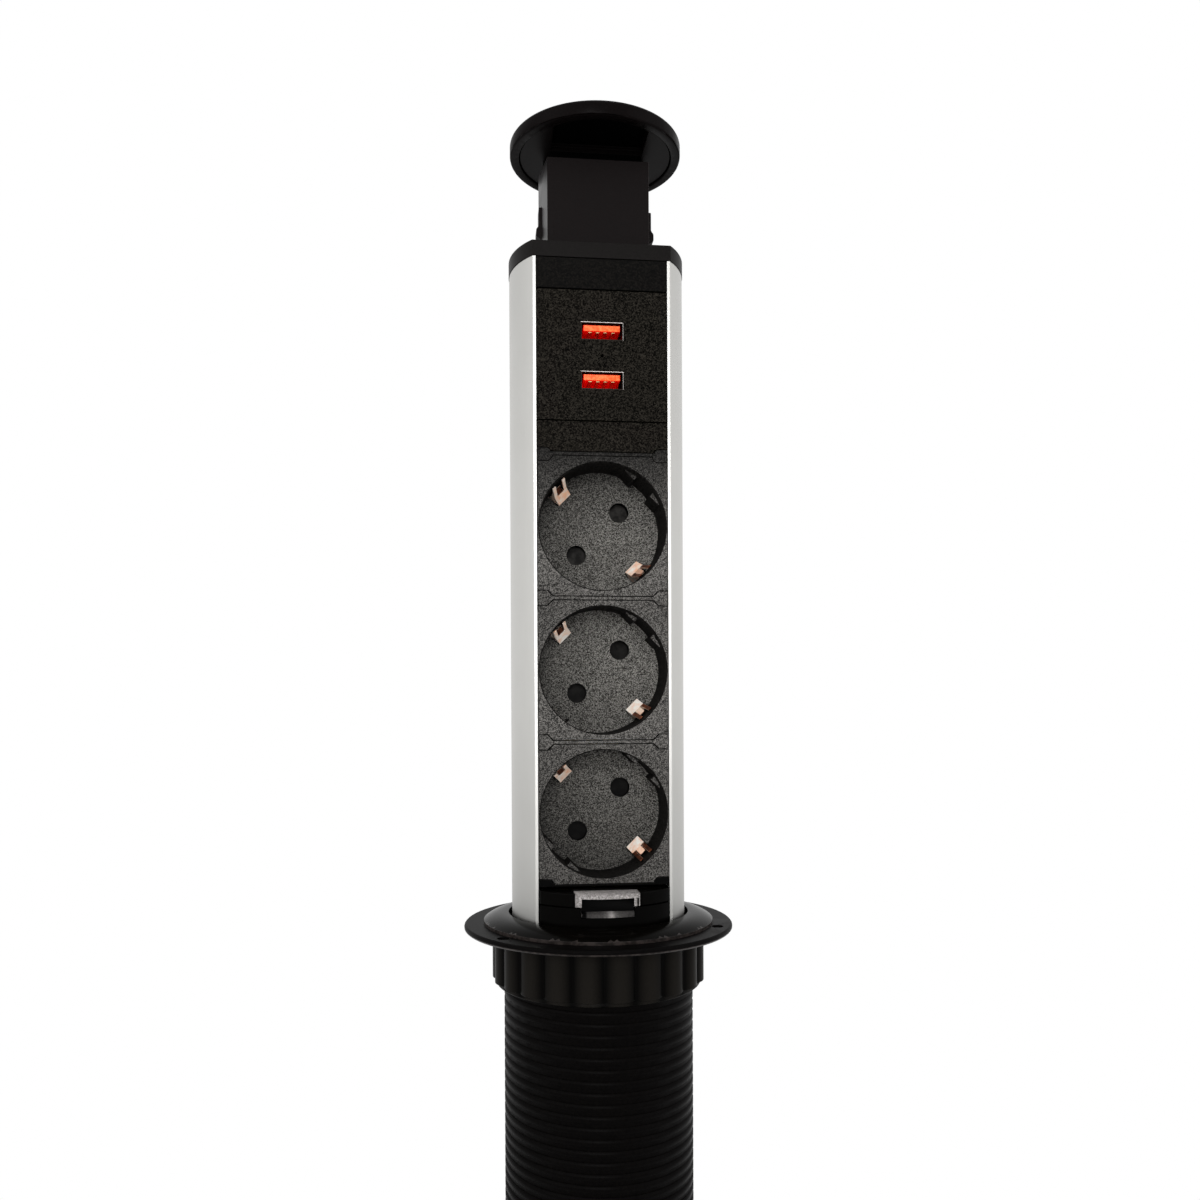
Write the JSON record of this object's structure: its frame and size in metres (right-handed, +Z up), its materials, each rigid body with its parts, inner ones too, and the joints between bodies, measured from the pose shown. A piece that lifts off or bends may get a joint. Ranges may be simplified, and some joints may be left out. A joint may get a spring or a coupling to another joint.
{
  "type": "pop-up worktop socket tower",
  "caption": "Pop-up worktop socket tower: silver column with round earthed sockets and charging ports, lifting cap, wide flange and threaded barrel with clamping nut.",
  "frame": {"origin": "centre of the worktop seat, on the flange's underside", "axes": "+Z up along the tower; the flat front with the sockets faces -Y; +X is to the right seen from the front"},
  "size_m": [0.084, 0.084, 0.533],
  "materials": {
    "shell_silver": "satin anodised",
    "plate_black": "fine matte",
    "neck_black": "matte",
    "cap_grey": "satin",
    "panel_black": "fine matte",
    "module_charcoal": "fine spark texture",
    "shutter_grey": "fine matte",
    "earth_copper": "bright rolled strip",
    "contact_brass": "drawn",
    "spring_steel": "drawn wire",
    "screw_steel": "zinc plated",
    "port_steel": "plated",
    "tongue_orange": "satin",
    "gold_plate": "gold plated",
    "board_green": "solder resist",
    "part_black": "moulded",
    "can_silver": "drawn can",
    "base_black": "glossy",
    "button_grey": "satin",
    "barrel_black": "satin gloss",
    "nut_black": "satin gloss",
    "rubber_black": "soft",
    "terminal_white": "natural"
  },
  "bodies": {
    "barrel": {"threaded_barrel": "barrel_black", "trim_ring": "barrel_black", "seal_ring": "rubber_black", "guide_bush": "part_black", "barrel_end_ring": "barrel_black"},
    "nut_rider": {"grip_ring": "rubber_black"},
    "nut": {"clamp_nut": "nut_black"},
    "button": {"release_button": "button_grey"},
    "shutter_body_1": {"shutter_1": "shutter_grey"},
    "shutter_body_2": {"shutter_2": "shutter_grey"},
    "shutter_body_3": {"shutter_3": "shutter_grey"},
    "tower": {"tower_shell": "shell_silver", "top_plate": "plate_black", "plate_screws": "screw_steel", "neck": "neck_black", "neck_clip_left": "neck_black", "neck_clip_right": "neck_black", "cap": "cap_grey", "cap_base": "cap_grey", "upper_spacer": "panel_black", "usb_panel": "panel_black", "usb_port_1": "port_steel", "usb_port_2": "port_steel", "usb_tongue_1": "tongue_orange", "usb_tongue_2": "tongue_orange", "usb_contacts": "gold_plate", "usb_board": "board_green", "usb_transformer": "part_black", "usb_capacitors": "can_silver", "lower_spacer": "panel_black", "joint_bar_1": "panel_black", "joint_bar_2": "panel_black", "joint_bar_3": "panel_black", "joint_bar_4": "panel_black", "line_bar": "contact_brass", "neutral_bar": "contact_brass", "earth_bar": "earth_copper", "base_housing": "base_black", "base_collar": "base_black", "button_spring": "spring_steel", "bottom_plate": "part_black", "bottom_screws": "screw_steel", "cable_gland": "part_black", "terminal_block": "terminal_white", "terminal_screws": "screw_steel", "socket_1": "module_charcoal", "earth_bow_1": "earth_copper", "contact_carrier_1": "part_black", "pin_contacts_1": "contact_brass", "shutter_spring_1": "spring_steel", "socket_2": "module_charcoal", "earth_bow_2": "earth_copper", "contact_carrier_2": "part_black", "pin_contacts_2": "contact_brass", "shutter_spring_2": "spring_steel", "socket_3": "module_charcoal", "earth_bow_3": "earth_copper", "contact_carrier_3": "part_black", "pin_contacts_3": "contact_brass", "shutter_spring_3": "spring_steel"}
  },
  "joints": [
    {"name": "tower_slide", "type": "slide", "parent": "barrel", "child": "tower", "axis": [0, 0, 1], "range_m": [-0.24, 0]},
    {"name": "release_button_push", "type": "slide", "parent": "tower", "child": "button", "axis": [0, 1, 0], "range_m": [0, 0.0025], "stiffness_N_per_m": 900, "springref_m": -0.002},
    {"name": "nut_travel", "type": "slide", "parent": "barrel", "child": "nut_rider", "axis": [0, 0, 1], "range_m": [-0.0402, 0]},
    {"name": "nut_turn", "type": "hinge", "parent": "nut_rider", "child": "nut", "pos_m": [0, 0, 0], "axis": [0, 0, 1], "range_deg": [-4320, 0]},
    {"name": "shutter_turn_1", "type": "hinge", "parent": "tower", "child": "shutter_body_1", "pos_m": [0, 0.0012, 0.1231], "axis": [0, 1, 0], "range_deg": [0, 45], "stiffness_Nm_per_rad": 0.004, "springref_deg": -20.05},
    {"name": "shutter_turn_2", "type": "hinge", "parent": "tower", "child": "shutter_body_2", "pos_m": [0, 0.0012, 0.0801], "axis": [0, 1, 0], "range_deg": [0, 45], "stiffness_Nm_per_rad": 0.004, "springref_deg": -20.05},
    {"name": "shutter_turn_3", "type": "hinge", "parent": "tower", "child": "shutter_body_3", "pos_m": [0, 0.0012, 0.0371], "axis": [0, 1, 0], "range_deg": [0, 45], "stiffness_Nm_per_rad": 0.004, "springref_deg": -20.05}
  ],
  "couplings": [
    {"joint": "nut_turn", "follows": "nut_travel", "rad_per_m": 1875.6}
  ]
}
